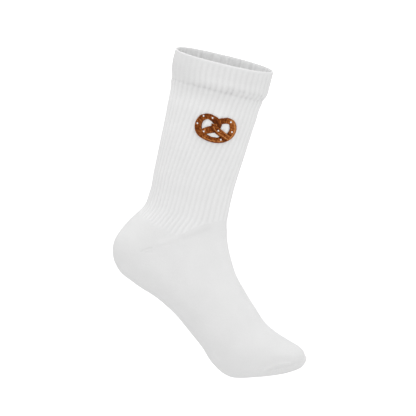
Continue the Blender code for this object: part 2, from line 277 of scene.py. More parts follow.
# Lightness of the brown threads, from 0 to 1, and where it changes, in the pretzel's own mm
BROWN = 0.40
RIGHT_LIGHTER = 0.22
RIGHT_START = 8.0
RIGHT_REACH = 12.0
LEFT_TOP_DARKER = 0.08
TOP_START = 4.0
TOP_REACH = 6.0
BROWN_SPOTS = ((9, 5.0, 0.10), (10, 2.0, 0.20))  # seed, size and strength of blotches and of flecks
THREAD_SPREAD = 0.12
LINE_SPREAD = 0.07
BROWN_FLECK = 0.3  # how much the tone varies within a thread
ARM_EDGE = 3.8  # from the middle of the arm on top to the painted shadow beside it
ARM_SHADE = 0.45
ARM_SHADE_WIDTH = 0.9

# Lines of lighter thread on top: strand, where the line starts and ends as shares of the strand's length, its
# place across the strand from -1 to 1 (on the ring 1 is its inner edge), count of threads, and lightness
LIGHT_LINES = (
    ("ring", 0.00, 1.00, -0.84, 1, 0.10),
    ("ring", 0.40, 0.62, -0.30, 2, 0.42),
    ("ring", 0.66, 0.88, -0.42, 3, 0.34),
    ("ring", 0.10, 0.36, 0.62, 1, 0.18),
    ("under arm", 0.45, 1.00, 0.62, 1, 0.15),
    ("over arm", 0.02, 0.97, 0.80, 2, 0.36),
    ("over arm", 0.10, 0.97, -0.34, 2, 0.46),
)

# White salt knots on the pretzel, in the pretzel's own mm
SALT_PLACES = (
    (-14.1, 11.0), (-4.7, 10.4), (-19.1, 2.5), (14.2, 8.8), (-11.5, -4.9), (3.0, -1.8), (16.8, -1.3),
    (6.9, -10.9),
)
KNOT_RADIUS = 0.47
KNOT_WINDING = 0.24
KNOT_THREAD = 0.27
KNOT_POINTS = 44
KNOT_SIDES = 8
KNOT_ROUNDS = 2
KNOT_WAVES = 1.5  # how often the thread goes in and out, up and down, on each round
KNOT_TURN = 1.1  # radians from knot to knot, so that no two look the same


def section_table():
    """Knots along the tube, a row for each section, and the longer of its two edges to the next section.

    A row holds the middle's x and y, lean, half width, half thickness, height, widest place and slant. The
    halves are raised to TIP_BLUNTNESS, so that they shrink to nothing as a round end does.
    """
    opening_y = SECTIONS[0][1][1]
    hem_y = SECTIONS[HEM][1][1]
    edges = np.array([(*back, *front) for _, back, front, *_ in SECTIONS]) * MM
    moves = np.diff(edges, axis=0)
    back_moves = np.hypot(moves[:, 0], moves[:, 1])
    front_moves = np.hypot(moves[:, 2], moves[:, 3])
    knots = np.concatenate(([0.0], np.cumsum(0.5 * (back_moves + front_moves))))
    rows = []
    for _, back, front, half_thickness, height, widest in SECTIONS:
        across = np.subtract(front, back) * MM
        middle = np.add(front, back) * 0.5 * MM
        half_width = 0.5 * float(np.hypot(*across))
        lean = math.atan2(across[1], across[0]) if half_width > 0.0 else TIP_LEAN
        sizes = np.array((half_width, half_thickness * MM)) ** TIP_BLUNTNESS
        slant = OPENING_SLANT * max(back[1] - hem_y, 0.0) / (opening_y - hem_y)
        rows.append((*middle, lean, *sizes, height * MM, widest, slant))
    return knots, np.array(rows), np.maximum(back_moves, front_moves)


KNOTS, SECTION_ROWS, LONGEST_MOVES = section_table()


def smooth_values(values, knots, at):
    """Values between the given rows, on a smooth curve that passes through each row at its knot."""
    steps = np.diff(knots)[:, None]
    slopes = np.diff(values, axis=0) / steps
    inner = (slopes[:-1] * steps[1:] + slopes[1:] * steps[:-1]) / (steps[:-1] + steps[1:])
    tangents = np.vstack((slopes[:1], inner, slopes[-1:]))
    cell = np.clip(np.searchsorted(knots, at, side="right") - 1, 0, len(steps) - 1)
    width = steps[cell]
    share = (at - knots[cell])[:, None] / width
    left = 1.0 - share
    start = values[cell] * (1.0 + 2.0 * share) + tangents[cell] * width * share
    end = values[cell + 1] * (1.0 + 2.0 * left) - tangents[cell + 1] * width * left
    return start * left**2 + end * share**2


def smooth_step(value):
    """0 below 0, 1 above 1, and a soft rise between."""
    value = np.clip(value, 0.0, 1.0)
    return value * value * (3.0 - 2.0 * value)


def bump(distance, width):
    """1 at no distance, and softly down to nothing at about twice the width."""
    return np.exp(-((distance / width) ** 2))


def distance_to_line(x, y, line):
    """Distance from each point to a line of straight stretches."""
    nearest = np.full(np.shape(x), np.inf)
    for (x0, y0), (x1, y1) in zip(line, line[1:]):
        length = math.hypot(x1 - x0, y1 - y0)
        toward_x = (x1 - x0) / length
        toward_y = (y1 - y0) / length
        along = np.clip((x - x0) * toward_x + (y - y0) * toward_y, 0.0, length)
        nearest = np.minimum(nearest, np.hypot(x - x0 - along * toward_x, y - y0 - along * toward_y))
    return nearest


def slow_unevenness(points, wavelength, seed):
    """A smooth wandering value between about -1 and 1 at each point, from a few crossing waves."""
    draw = np.random.default_rng(seed)
    total = np.zeros(points.shape[:-1])
    for _ in range(UNEVEN_WAVES):
        direction = draw.normal(size=3)
        length = wavelength * draw.uniform(*WAVE_LENGTHS)
        direction *= 2.0 * math.pi / (length * np.linalg.norm(direction))
        total += np.sin(points @ direction + draw.uniform(0.0, 2.0 * math.pi))
    return total / math.sqrt(0.5 * UNEVEN_WAVES) * WAVE_GAIN


def row_places():
    """Where the rows of points lie along the tube: closest at the hem, in the heel and in the toe."""
    places = []
    for k, longest in enumerate(LONGEST_MOVES[:-1]):
        fine = ANKLE <= k < SOLE or k >= FOREFOOT
        count = math.ceil(longest / (FINE_ROW_STEP if fine else ROW_STEP))
        places.extend(np.linspace(KNOTS[k], KNOTS[k + 1], count, endpoint=False))
    share = np.arange(TIP_ROWS + 1) / TIP_ROWS
    places.extend(KNOTS[-2] + (KNOTS[-1] - KNOTS[-2]) * (1.0 - (1.0 - share) ** 2))
    places = np.array(places)
    below_hem = places - KNOTS[HEM]
    clear_of_hem = (below_hem < HEM_ROWS_START) | (below_hem > HEM_ROWS_END)
    hem_rows = KNOTS[HEM] + np.arange(HEM_ROWS_START, HEM_ROWS_END + 0.5 * HEM_ROW_STEP, HEM_ROW_STEP)
    return np.sort(np.concatenate((places[clear_of_hem], hem_rows)))


def column_shares(places):
    """The share of the way round the tube at which each column of points stands, for each place along it."""
    crowding = BACK_CROWDING * smooth_step((places - KNOTS[HEM]) / (KNOTS[ANKLE] - KNOTS[HEM]))
    share = np.linspace(0.0, 1.0, FINE_ANGLES)
    columns = np.arange(RIBS * COLUMNS_PER_RIB) / (RIBS * COLUMNS_PER_RIB)
    wave = np.sin(2.0 * math.pi * share) / (2.0 * math.pi)
    return np.array([np.interp(columns, share - amount * wave, share) for amount in crowding])


def tube_rings(places, shares):
    """Points of the plain tube: a ring for each place along it, at its own shares of the way round."""
    rows = smooth_values(SECTION_ROWS, KNOTS, places)
    x, y, lean, raised_width, raised_thickness, height, widest, slant = (column[:, None] for column in rows.T)
    half_width = np.maximum(raised_width, 0.0) ** (1.0 / TIP_BLUNTNESS)
    half_thickness = np.maximum(raised_thickness, 0.0) ** (1.0 / TIP_BLUNTNESS)
    angle = np.linspace(0.0, 2.0 * math.pi, FINE_ANGLES + 1)
    forward = np.cos(angle) >= 0.0
    power = 2.0 / np.where(forward, FRONT_POWER, BACK_POWER)
    widest_at = half_width * (2.0 * widest - 1.0)
    reach = np.where(forward, half_width - widest_at, half_width + widest_at)
    along = widest_at + reach * np.sign(np.cos(angle)) * np.abs(np.cos(angle)) ** power
    side = np.sign(np.sin(angle)) * np.abs(np.sin(angle)) ** power
    level = height + half_thickness * side - SINK
    level = 0.5 * (level + np.sqrt(level**2 + FLOOR_SOFTNESS**2))
    fine = np.stack((x + along * np.cos(lean), y + along * np.sin(lean) - slant * side, level), axis=-1)
    way = np.linalg.norm(np.diff(fine, axis=1), axis=2).cumsum(axis=1)
    points = np.empty((*shares.shape, 3))
    for k, ring in enumerate(fine):
        shares_here = np.concatenate(([0.0], way[k])) / max(way[k, -1], 1e-9)
        for axis in range(3):
            points[k, :, axis] = np.interp(shares[k], shares_here, ring[:, axis])
    return points


def outward_directions(points):
    """The way out of the tube at each point of a grid of rings."""
    along = np.gradient(points, axis=0)
    around = np.roll(points, -1, axis=1) - np.roll(points, 1, axis=1)
    normals = np.cross(around, along)
    return normals / np.maximum(np.linalg.norm(normals, axis=2, keepdims=True), 1e-12)


def centring_shift(points):
    """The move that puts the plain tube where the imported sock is."""
    low, high = (np.array(corner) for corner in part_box("sock"))
    middle = 0.5 * (points.reshape(-1, 3).min(axis=0) + points.reshape(-1, 3).max(axis=0))
    shift = 0.5 * (low + high) - middle
    shift[2] = 0.0
    return shift


def rib_profile():
    """How high each column stands on its rib, from 0 in a furrow to 1 on a ridge."""
    phase = np.arange(RIBS * COLUMNS_PER_RIB) % COLUMNS_PER_RIB / COLUMNS_PER_RIB
    return np.abs(np.sin(math.pi * phase)) ** RIB_ROUNDNESS


def motif_distance(points):
    """Distance in mm from each point of the upper side to the nearest strand's edge, below 0 under it."""
    x = points[..., 0] / MM - MOTIF_CENTRE[0]
    y = points[..., 1] / MM - MOTIF_CENTRE[1]
    flat_x = x * math.cos(MOTIF_TURN) + y * math.sin(MOTIF_TURN)
    flat_y = y * math.cos(MOTIF_TURN) - x * math.sin(MOTIF_TURN)
    distance = np.full(flat_x.shape, FAR_AWAY)
    near = (np.hypot(flat_x, flat_y) < MOTIF_REACH) & (points[..., 2] > UPPER_SIDE * MM)
    for _, route, closed, _ in STRANDS:
        for (x, y), half_width, _ in zip(*strand_path(route, closed, PADDING_STEP)):
            beyond = np.hypot(flat_x[near] - x, flat_y[near] - y) - half_width
            distance[near] = np.minimum(distance[near], beyond)
    return distance


def per_rib(draw, low, high):
    """A random value for each rib, at all of its columns."""
    return np.repeat(draw.uniform(low, high, RIBS), COLUMNS_PER_RIB)


def hem_stitches(below_hem):
    """How deep the hem's stitches pull each furrow in, from 0 to 1: a strong row and a fainter one above."""
    draw = np.random.default_rng(HEM_SEED)
    furrow = bump(rib_profile(), FURROW_WIDTH)
    pull = per_rib(draw, *HEM_PULL)
    upper_pull = per_rib(draw, *UPPER_PULL)
    below = below_hem + per_rib(draw, -HEM_JITTER, HEM_JITTER)
    above_length, below_length = HEM_STITCH_LENGTH
    rows = pull * bump(below, np.where(below < 0.0, above_length, below_length))
    rows = rows + np.maximum(upper_pull, 0.0) * bump(below_hem + UPPER_STITCHES, below_length)
    return furrow * rows


def ribbed_share(x, y, from_strand):
    """How ribbed the knit is, from 0 to 1: not in the heel and foot, and hardly under the pretzel."""
    jitter = per_rib(np.random.default_rng(RIB_END_SEED), -RIB_END_JITTER, RIB_END_JITTER)
    ribbed = smooth_step((y - np.interp(x, RIB_END_X, RIB_END_Y) - jitter) / RIB_END_FADE)
    flattened = smooth_step((FLATTENED_REACH - from_strand) / FLATTENED_FADE)
    return ribbed * (1.0 - FLATTENED_SHARE * flattened)


def rib_heights(places, below_hem, at_back):
    """Height of the ribs, in mm: lower on the cuff, and none at the folded edge."""
    cuff = CUFF_RIB_HEIGHT * smooth_step((places / MM)[:, None] / FOLD_FADE) * (1.0 - BACK_RIB_FADE * at_back)
    return np.where(below_hem < 0.0, cuff, RIB_HEIGHT)


def hem_slope(below_hem):
    """How far each place is lifted for the leg to narrow slowly under the hem, in mm."""
    slope = HEM_SLOPE * np.exp(-np.maximum(below_hem, 0.0) / HEM_SLOPE_LENGTH)
    return slope * smooth_step(below_hem / HEM_SLOPE_START)


def hole_swelling(points, from_strand):
    """Where the knit swells in the holes of the pretzel, from 0 to 1."""
    from_middle = np.hypot(points[..., 0] / MM - MOTIF_CENTRE[0], points[..., 1] / MM - MOTIF_CENTRE[1])
    inside = smooth_step((HOLES_REACH - from_middle) / HOLES_FADE)
    return smooth_step(from_strand / HOLE_EDGE) * inside * (points[..., 2] > UPPER_SIDE * MM)


def knit_relief(points, places):
    """How far the knit stands out from the plain tube, in mm, and the painted light and shade in its colour.
    """
    x = points[..., 0] / MM
    y = points[..., 1] / MM
    back_x, front_x = SECTIONS[HEM][1][0], SECTIONS[HEM][2][0]
    below_hem = ((places - KNOTS[HEM]) / MM)[:, None] - HEM_DROP * (x - back_x) / (front_x - back_x)
    at_back = smooth_step((BACK_START - x) / BACK_REACH)
    seam_share = 1.0 - BACK_SEAM_FADE * at_back
    from_strand = motif_distance(points)
    ribbed = ribbed_share(x, y, from_strand)
    rib = (rib_profile() - SUNK_SHARE) * ribbed
    height = rib_heights(places, below_hem, at_back)
    stitched = hem_stitches(below_hem) * seam_share
    creased = sum(depth * bump(distance_to_line(x, y, line), width) for depth, width, line in CREASES)
    puffed = hole_swelling(points, from_strand)
    uneven = SOFTNESS * slow_unevenness(points, SOFTNESS_LENGTH * MM, SOFTNESS_SEED)
    relief = rib * height + hem_slope(below_hem) - HEM_STITCH_DEPTH * stitched - creased
    relief += HOLE_PUFF * puffed
    relief += sum(rise * bump(below_hem - place, SEAM_WIDTH) for rise, place in HEM_SEAM) * seam_share
    relief += uneven * (1.0 - RIB_STIFFNESS * ribbed)
    # painted shade on the cuff and the top of the leg, stronger at the back
    cuff_shaded = (1.0 + at_back) * smooth_step((CUFF_SHADE_START - below_hem) / CUFF_SHADE_REACH)
    # painted light and shade in the knit's colour, from its ribs, hem stitches, creases, holes and cuff
    painted_light = PLAIN_PAINTED_LIGHT + RIBBED_PAINTED_LIGHT * ribbed + RIDGE_PAINTED_LIGHT * rib * height
    painted_light = painted_light - STITCH_SHADE * stitched - CREASE_SHADE * creased
    painted_light += PUFF_PAINTED_LIGHT * puffed - CUFF_PAINTED_SHADE * cuff_shaded
    return relief, np.clip(painted_light, 0.0, 1.0)


def lip_rings(edge, outward):
    """Rings over the folded edge of the opening, from the inner side of the wall to the outer one."""
    radius = 0.5 * WALL
    centre = edge - outward * radius
    up = np.array((0.0, 1.0, 0.0))
    turns = np.linspace(math.pi, 0.0, LIP_ROWS + 2)[1:-1]
    return np.stack([centre + radius * (outward * math.cos(turn) + up * math.sin(turn)) for turn in turns])


def inner_rings(shift):
    """Rings of the inner face, from deep in the toe to the opening, and the painted light and shade on them.

    The ribs show there the other way round, and the painted shade is at its darkest from INNER_REACH on.
    """
    places = np.arange(0.5 * WALL, KNOTS[-2], INNER_ROW_STEP)
    places = np.sort(np.concatenate((places, NEAR_LIP_ROWS)))[::-1]
    plain = tube_rings(places, column_shares(places))
    outward = -outward_directions(plain)
    ribbed = smooth_step((plain[..., 1] / MM - RIB_END_Y[0]) / RIB_END_FADE)
    ribs = (rib_profile() - SUNK_SHARE) * INNER_RIB_HEIGHT * MM * ribbed
    # painted shade, deeper away from the opening, along the ribs and in random streaks
    lit = np.clip(1.0 - places / INNER_REACH, 0.0, 1.0)[:, None]
    draw = np.random.default_rng(STREAK_SEED)
    count = RIBS * COLUMNS_PER_RIB // STREAK_COLUMNS
    streaks = np.repeat(draw.uniform(0.0, INNER_STREAKS, count), STREAK_COLUMNS)
    painted_light = lit * (1.0 - INNER_RIB_SHADE * rib_profile() - streaks)
    return plain + shift + outward * (ribs - WALL)[..., None], painted_light


def grid_faces(row_count, column_count):
    """Four-sided faces between rings of equal count."""
    numbers = np.arange(row_count * column_count).reshape(row_count, column_count)
    following = np.roll(numbers, -1, axis=1)
    corners = (numbers[:-1], following[:-1], following[1:], numbers[1:])
    return np.stack(corners, axis=-1).reshape(-1, 4).tolist()


def stitch_counts(rings):
    """Stitches round and along the rings at each corner of their faces, in the order of grid_faces."""
    column_count = rings.shape[1]
    wales = np.arange(column_count + 1) * WALES_PER_RIB / COLUMNS_PER_RIB
    lengths = np.linalg.norm(np.diff(rings, axis=0), axis=2).cumsum(axis=0) / COURSE
    courses = np.vstack((np.zeros((1, column_count)), lengths))
    courses = np.hstack((courses, courses[:, :1]))
    stitches = np.stack(np.broadcast_arrays(wales[None, :], courses), axis=-1)
    corners = (stitches[:-1, :-1], stitches[:-1, 1:], stitches[1:, 1:], stitches[1:, :-1])
    return np.stack(corners, axis=2).reshape(-1, 2)


def new_mesh(name, points, faces, uv_map, uvs):
    """A smooth mesh with a UV map."""
    mesh = bpy.data.meshes.new(name)
    mesh.from_pydata(points, [], faces)
    mesh.shade_smooth()
    mesh.uv_layers.new(name=uv_map).data.foreach_set("uv", np.array(uvs).ravel())
    return mesh


def mesh_from_rings(name, rings, first_pole, last_pole):
    """A closed mesh of rings of equal count, with a point at either end, and a UV map of its stitches."""
    row_count, column_count = rings.shape[:2]
    vertices = np.vstack((rings.reshape(-1, 3), first_pole, last_pole))
    first, last = len(vertices) - 2, len(vertices) - 1
    last_ring = (row_count - 1) * column_count
    faces = grid_faces(row_count, column_count)
    around = [(k, (k + 1) % column_count) for k in range(column_count)]
    faces += [(first, after, here) for here, after in around]
    faces += [(last, last_ring + here, last_ring + after) for here, after in around]
    uvs = np.vstack((stitch_counts(rings), np.zeros((6 * column_count, 2))))
    return new_mesh(name, vertices.tolist(), faces, "stitches", uvs)


def add_values(mesh, name, values):
    """A value for each point of the mesh, which its material reads by name."""
    mesh.attributes.new(name, "FLOAT", "POINT").data.foreach_set("value", values)


def new_object(name, data):
    """An object in the scene, made of a mesh, a lamp or a camera."""
    made = bpy.data.objects.new(name, data)
    bpy.context.scene.collection.objects.link(made)
    return made


def add_piece(name, mesh, finish, slot, *replaced):
    """An object that rides on the part and stands for the given nodes."""
    mesh.materials.append(finish)
    piece = new_object(name, mesh)
    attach(piece, "root")
    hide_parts(*replaced)


def knit_sock(finish):
    """Makes the whole knitted tube.

    Gives the plain tube to lay the pretzel on, and the move from the outline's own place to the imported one.
    """
    places = row_places()
    plain = tube_rings(places, column_shares(places))
    shift = centring_shift(plain)
    outward = outward_directions(plain)
    relief, painted_light = knit_relief(plain, places)
    outer = plain + shift + outward * (relief * MM)[..., None]
    outer[..., 2] = np.maximum(outer[..., 2], 0.0)
    outer[0, :, 1] -= LIP_DROP
    lip = lip_rings(outer[0], outward[0])
    inner, inner_painted_light = inner_rings(shift)
    rings = np.concatenate((inner, lip, outer[:-1]))
    mesh = mesh_from_rings("sock_knit", rings, inner[0].mean(axis=0), outer[-1].mean(axis=0))
    # painted light on the folded edge and at the point of the toe, none at the inner pole
    edge = np.full(LIP_ROWS * rings.shape[1], LIP_PAINTED_LIGHT)
    ends = (0.0, TOE_PAINTED_LIGHT)
    add_values(mesh, "painted_light", np.concatenate((inner_painted_light.ravel(), edge, painted_light[:-1].ravel(), ends)))
    radii = np.linalg.norm(rings - rings.mean(axis=1, keepdims=True), axis=2).mean(axis=1)
    shown = smooth_step((radii - STITCH_FADE[0]) / (STITCH_FADE[1] - STITCH_FADE[0]))
    add_values(mesh, "stitches shown", np.concatenate((np.repeat(shown, rings.shape[1]), (0.0, 0.0))))
    add_piece("sock_knit", mesh, finish, "white_knit", "sock")
    points = (plain + shift).reshape(-1, 3).tolist()
    return BVHTree.FromPolygons(points, grid_faces(*plain.shape[:2])), Vector(shift)


def strand_path(route, closed, step):
    """Places a step apart on a smooth curve through the given ones, with half widths and directions."""
    route = np.array(route)
    if closed:
        route = np.vstack((route[-2:], route, route[:3]))
    knots = np.concatenate(([0.0], np.cumsum(np.hypot(*np.diff(route[:, :2], axis=0).T))))
    start, end = (knots[2], knots[-3]) if closed else (knots[0], knots[-1])
    count = round((end - start) / step)
    at = start + (end - start) * np.arange(count + (0 if closed else 1)) / count
    nudge = 0.01 * step
    ahead = smooth_values(route, knots, np.minimum(at + nudge, knots[-1]))
    behind = smooth_values(route, knots, np.maximum(at - nudge, knots[0]))
    direction = (ahead - behind)[:, :2]
    here = smooth_values(route, knots, at)
    return here[:, :2], 0.5 * here[:, 2], direction / np.hypot(*direction.T)[:, None]


class Leg:
    """The plain leg that the embroidery is laid on."""

    def __init__(self, tree, shift):
        self.tree = tree
        self.shift = shift

    def level(self, x, y):
        """Height of the leg's upper side at a place, seen from a metre above."""
        return self.tree.ray_cast(Vector((x, y, 1.0)), Vector((0.0, 0.0, -1.0)))[0].z

    def spot(self, x, y):
        """The point under a place of the flat pretzel, in its own mm, and the smoothed way out there."""
        turn_cos = math.cos(MOTIF_TURN)
        turn_sin = math.sin(MOTIF_TURN)
        on_x = (MOTIF_CENTRE[0] + x * turn_cos - y * turn_sin) * MM + self.shift.x
        on_y = (MOTIF_CENTRE[1] + x * turn_sin + y * turn_cos) * MM + self.shift.y
        reach = SLOPE_REACH
        slope_x = (self.level(on_x + reach, on_y) - self.level(on_x - reach, on_y)) / (2.0 * reach)
        slope_y = (self.level(on_x, on_y + reach) - self.level(on_x, on_y - reach)) / (2.0 * reach)
        out = Vector((-slope_x, -slope_y, 1.0)).normalized()
        return Vector((on_x, on_y, self.level(on_x, on_y))), out

    def lay(self, places):
        """Bends flat places (x, y, height), in mm, over the leg: their points and the ways out."""
        points = []
        outs = []
        for x, y, height in places:
            point, out = self.spot(x, y)
            points.append(point + out * height * MM)
            outs.append(out)
        return np.array(points), np.array(outs)


def dome(share):
    """Height of a strand, in mm, at a share of half its width from its middle."""
    return STRAND_HEIGHT * max(1.0 - abs(share) ** DOME_SIDES, 0.0) ** DOME_TOP


class ThreadWork:
    """Collects threads as tubes and turns them into one mesh."""

    def __init__(self):
        self.vertices = []
        self.faces = []
        self.uvs = []
        self.tones = []

    def add(self, points, outs, radius, tone=0.0, sides=THREAD_SIDES, closed=False):
        """One thread of the given radius in mm along the points, of one tone or a tone for each point."""
        count = len(points)
        if closed:
            direction = np.roll(points, -1, axis=0) - np.roll(points, 1, axis=0)
        else:
            direction = np.gradient(points, axis=0)
        direction /= np.linalg.norm(direction, axis=1, keepdims=True)
        side = np.cross(direction, outs)
        side /= np.linalg.norm(side, axis=1, keepdims=True)
        top = np.cross(side, direction)
        first = len(self.vertices)
        for k in range(count):
            for j in range(sides):
                angle = 2.0 * math.pi * (j + 0.5) / sides
                offset = math.cos(angle) * side[k] + math.sin(angle) * top[k]
                self.vertices.append(points[k] + offset * radius * MM)
        length = np.linalg.norm(np.diff(points, axis=0), axis=1).cumsum() / MM
        along = [0.0, *length]
        for k in range(count if closed else count - 1):
            after = (k + 1) % count
            end = along[after] if after > k else along[k] + CLOSING_STEP
            for j in range(sides):
                beside = (j + 1) % sides
                corners = ((k, j), (after, j), (after, beside), (k, beside))
                self.faces.append([first + row * sides + column for row, column in corners])
                low, high = j / sides, (j + 1) / sides
                self.uvs += [(low, along[k]), (low, end), (high, end), (high, along[k])]
        if not closed:
            for row, order in ((0, 1), (count - 1, -1)):
                cap = [first + row * sides + j for j in range(sides)][::order]
                self.faces.append(cap)
                self.uvs += [(0.0, 0.0)] * sides
        self.tones += np.repeat(np.broadcast_to(tone, count), sides).tolist()

    def mesh(self, name):
        made = new_mesh(name, np.array(self.vertices).tolist(), self.faces, "thread", self.uvs)
        add_values(made, "tone", self.tones)
        return made


def strand_tones(places):
    """How light the brown is at places of the pretzel, from 0 to 1: lightest at the right of the ring."""
    x, y = places[:, 0], places[:, 1]
    right = smooth_step((x - RIGHT_START) / RIGHT_REACH)
    left_top = smooth_step((y - TOP_START) / TOP_REACH) * smooth_step(-x / TOP_REACH)
    flat = np.stack((x, y, np.zeros(len(x))), axis=-1)
    tones = BROWN + RIGHT_LIGHTER * right - LEFT_TOP_DARKER * left_top
    for seed, size, strength in BROWN_SPOTS:
        tones += strength * slow_unevenness(flat, size, seed)
    return tones


def satin_stitches(leg, work):
    """Rows of thread across each strand, over the padding, with painted shadow where they dive under the arm
    on top.
    """
    draw = np.random.default_rng(THREADS_SEED)
    arm_line = [place[:2] for place in OVER_ARM]
    for _, route, closed, lift in STRANDS:
        for (x, y), half_width, (along_x, along_y) in zip(*strand_path(route, closed, SATIN_STEP)):
            near_end, far_end = 1.0 + draw.uniform(-0.5, 0.5, 2) * SATIN_UNEVENNESS / half_width
            slant = SATIN_SLANT + draw.normal(0.0, SLANT_SPREAD)
            places = []
            for share in np.linspace(-near_end, far_end, SATIN_POINTS):
                across = half_width * share
                along = slant * share
                height = STITCH_GAP + lift + dome(share) - SATIN_TUCK * abs(share) ** TUCK_SHARPNESS
                on_x = x - along_y * across + along_x * along
                on_y = y + along_x * across + along_y * along
                places.append((on_x, on_y, height))
            points, outs = leg.lay(places)
            tones = strand_tones(np.array(places)) + draw.normal(0.0, THREAD_SPREAD)
            # painted shadow of the arm on top
            if lift < OVER_ARM_LIFT:
                from_arm = distance_to_line(*np.array(places).T[:2], arm_line)
                tones -= ARM_SHADE * bump(from_arm - ARM_EDGE, ARM_SHADE_WIDTH)
            work.add(points, outs, SATIN_RADIUS * draw.uniform(*THICKNESS_RANGE), tones)


def light_lines(leg, work):
    """Lighter threads along the strands, in short stitches that overlap."""
    draw = np.random.default_rng(THREADS_SEED + 1)
    per_stitch = round(LINE_STITCH / LINE_STEP)
    routes = {name: (route, closed, lift) for name, route, closed, lift in STRANDS}
    for name, start, end, place, count, lightness in LIGHT_LINES:
        route, closed, lift = routes[name]
        path, half_widths, direction = strand_path(route, closed, LINE_STEP)
        first = round(start * len(path))
        last = round(end * len(path))
        for thread in range(count):
            beside = LINE_PITCH * LINE_RADIUS * (thread - 0.5 * (count - 1))
            offset = draw.integers(per_stitch)
            for begin in range(first - offset, last, per_stitch - 1):
                numbers = [k for k in range(begin, begin + per_stitch + 1) if first <= k < last]
                if len(numbers) < FEWEST_POINTS:
                    continue
                places = []
                for k in numbers:
                    share = (k - begin) / per_stitch
                    index = k % len(path)
                    across = half_widths[index] * place + beside + LINE_LEAN * (share - 0.5)
                    rise = dome(across / half_widths[index]) + LINE_LIFT
                    rise += LINE_ARCH * math.sin(math.pi * share)
                    x = path[index][0] - direction[index][1] * across
                    y = path[index][1] + direction[index][0] * across
                    places.append((x, y, STITCH_GAP + lift + rise))
                points, outs = leg.lay(places)
                tones = strand_tones(np.array(places)) + lightness + draw.normal(0.0, LINE_SPREAD)
                work.add(points, outs, LINE_RADIUS, tones)


def padding(leg, work):
    """The dark felt core of each strand, under its threads."""
    for _, route, closed, lift in STRANDS:
        first = len(work.vertices)
        places = list(zip(*strand_path(route, closed, PADDING_STEP)))
        for (x, y), half_width, (along_x, along_y) in places:
            for k in range(PADDING_SIDES):
                angle = 2.0 * math.pi * k / PADDING_SIDES
                share = PADDING_SHARE * math.cos(angle)
                across = half_width * share
                top = STITCH_GAP + lift + dome(share) - PADDING_DEPTH
                height = top if math.sin(angle) >= 0.0 else STITCH_GAP - PADDING_FOOT
                point, out = leg.spot(x - along_y * across, y + along_x * across)
                work.vertices.append(np.array(point + out * height * MM))
        count = len(places)
        for k in range(count if closed else count - 1):
            after = (k + 1) % count
            for j in range(PADDING_SIDES):
                beside = (j + 1) % PADDING_SIDES
                corners = ((after, j), (after, beside), (k, beside), (k, j))
                work.faces.append([first + row * PADDING_SIDES + column for row, column in corners])
                work.uvs += [(0.0, 0.0)] * 4
        if not closed:
            work.faces.append([first + j for j in range(PADDING_SIDES)])
            work.faces.append([first + (count - 1) * PADDING_SIDES + j for j in range(PADDING_SIDES)][::-1])
            work.uvs += [(0.0, 0.0)] * (2 * PADDING_SIDES)
        work.tones += [0.0] * (count * PADDING_SIDES)


def embroider(leg, brown_thread, brown_padding):
    """The pretzel's padding and the threads over it."""
    core = ThreadWork()
    padding(leg, core)
    threads = ThreadWork()
    satin_stitches(leg, threads)
    light_lines(leg, threads)
    for name, work, finish in (
        ("pretzel_padding", core, brown_padding),
        ("pretzel_threads", threads, brown_thread),
    ):
        add_piece(name, work.mesh(name), finish, "brown_thread", "pretzel_embroidery")


def salt_knot(number, place, leg, finish):
    """A white thread wound into a small knot on top of the strands."""
    low, high = (np.array(corner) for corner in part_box(f"salt_knot_{number}"))
    centre = 0.5 * (low + high)
    _, out = leg.spot(*place)
    turn = out.to_track_quat("Z", "Y").to_matrix() @ Matrix.Rotation(number * KNOT_TURN, 3, "Z")
    points = []
    for k in range(KNOT_POINTS):
        angle = 2.0 * math.pi * KNOT_ROUNDS * k / KNOT_POINTS
        radius = KNOT_RADIUS + KNOT_WINDING * math.cos(KNOT_WAVES * angle)
        rise = KNOT_WINDING * math.sin(KNOT_WAVES * angle)
        flat = Vector((radius * math.cos(angle), radius * math.sin(angle), rise))
        points.append(Vector(centre) + turn @ flat * MM)
    points = np.array(points)
    outs = np.tile(np.array(out), (KNOT_POINTS, 1))
    work = ThreadWork()
    work.add(points, outs, KNOT_THREAD, sides=KNOT_SIDES, closed=True)
    name = f"salt_{number}"
    add_piece(name, work.mesh(name), finish, "white_thread", f"salt_knot_{number}")


class Nodes:
    """Short ways to place, fill and link shader nodes in one tree."""

    def __init__(self, tree):
        self.tree = tree

    def fill(self, node, inputs):
        """Gives inputs of a node, by name or number, a value or a link from another node's output."""
        for name, value in inputs.items():
            if isinstance(value, bpy.types.NodeSocket):
                self.tree.links.new(value, node.inputs[name])
            else:
                node.inputs[name].default_value = value

    def add(self, kind, inputs=None, **settings):
        node = self.tree.nodes.new(kind)
        for name, value in settings.items():
            setattr(node, name, value)
        self.fill(node, inputs or {})
        return node

    def group(self, tree, inputs):
        """The output of a node group."""
        return self.add("ShaderNodeGroup", inputs, node_tree=tree).outputs[0]

    def attribute(self, name):
        return self.add("ShaderNodeAttribute", attribute_name=name).outputs["Fac"]

    def math(self, operation, *values):
        return self.add("ShaderNodeMath", dict(enumerate(values)), operation=operation).outputs[0]

    def multiply(self, first, second):
        """The product of two colours."""
        node = self.add("ShaderNodeMix", {"Factor": 1.0}, data_type="RGBA", blend_type="MULTIPLY")
        colours = [socket for socket in node.inputs if socket.type == "RGBA"]
        self.tree.links.new(first, colours[0])
        self.tree.links.new(second, colours[1])
        return next(socket for socket in node.outputs if socket.type == "RGBA")

    def ramp(self, value, *stops):
        """Colours along a value, from pairs of a place and a linear colour or grey."""
        node = self.add("ShaderNodeValToRGB", {"Fac": value})
        elements = node.color_ramp.elements
        while len(elements) < len(stops):
            elements.new(0.5)
        for element, (place, colour) in zip(elements, stops):
            element.position = place
            element.color = (*np.broadcast_to(colour, 3), 1.0)
        return node.outputs["Color"]


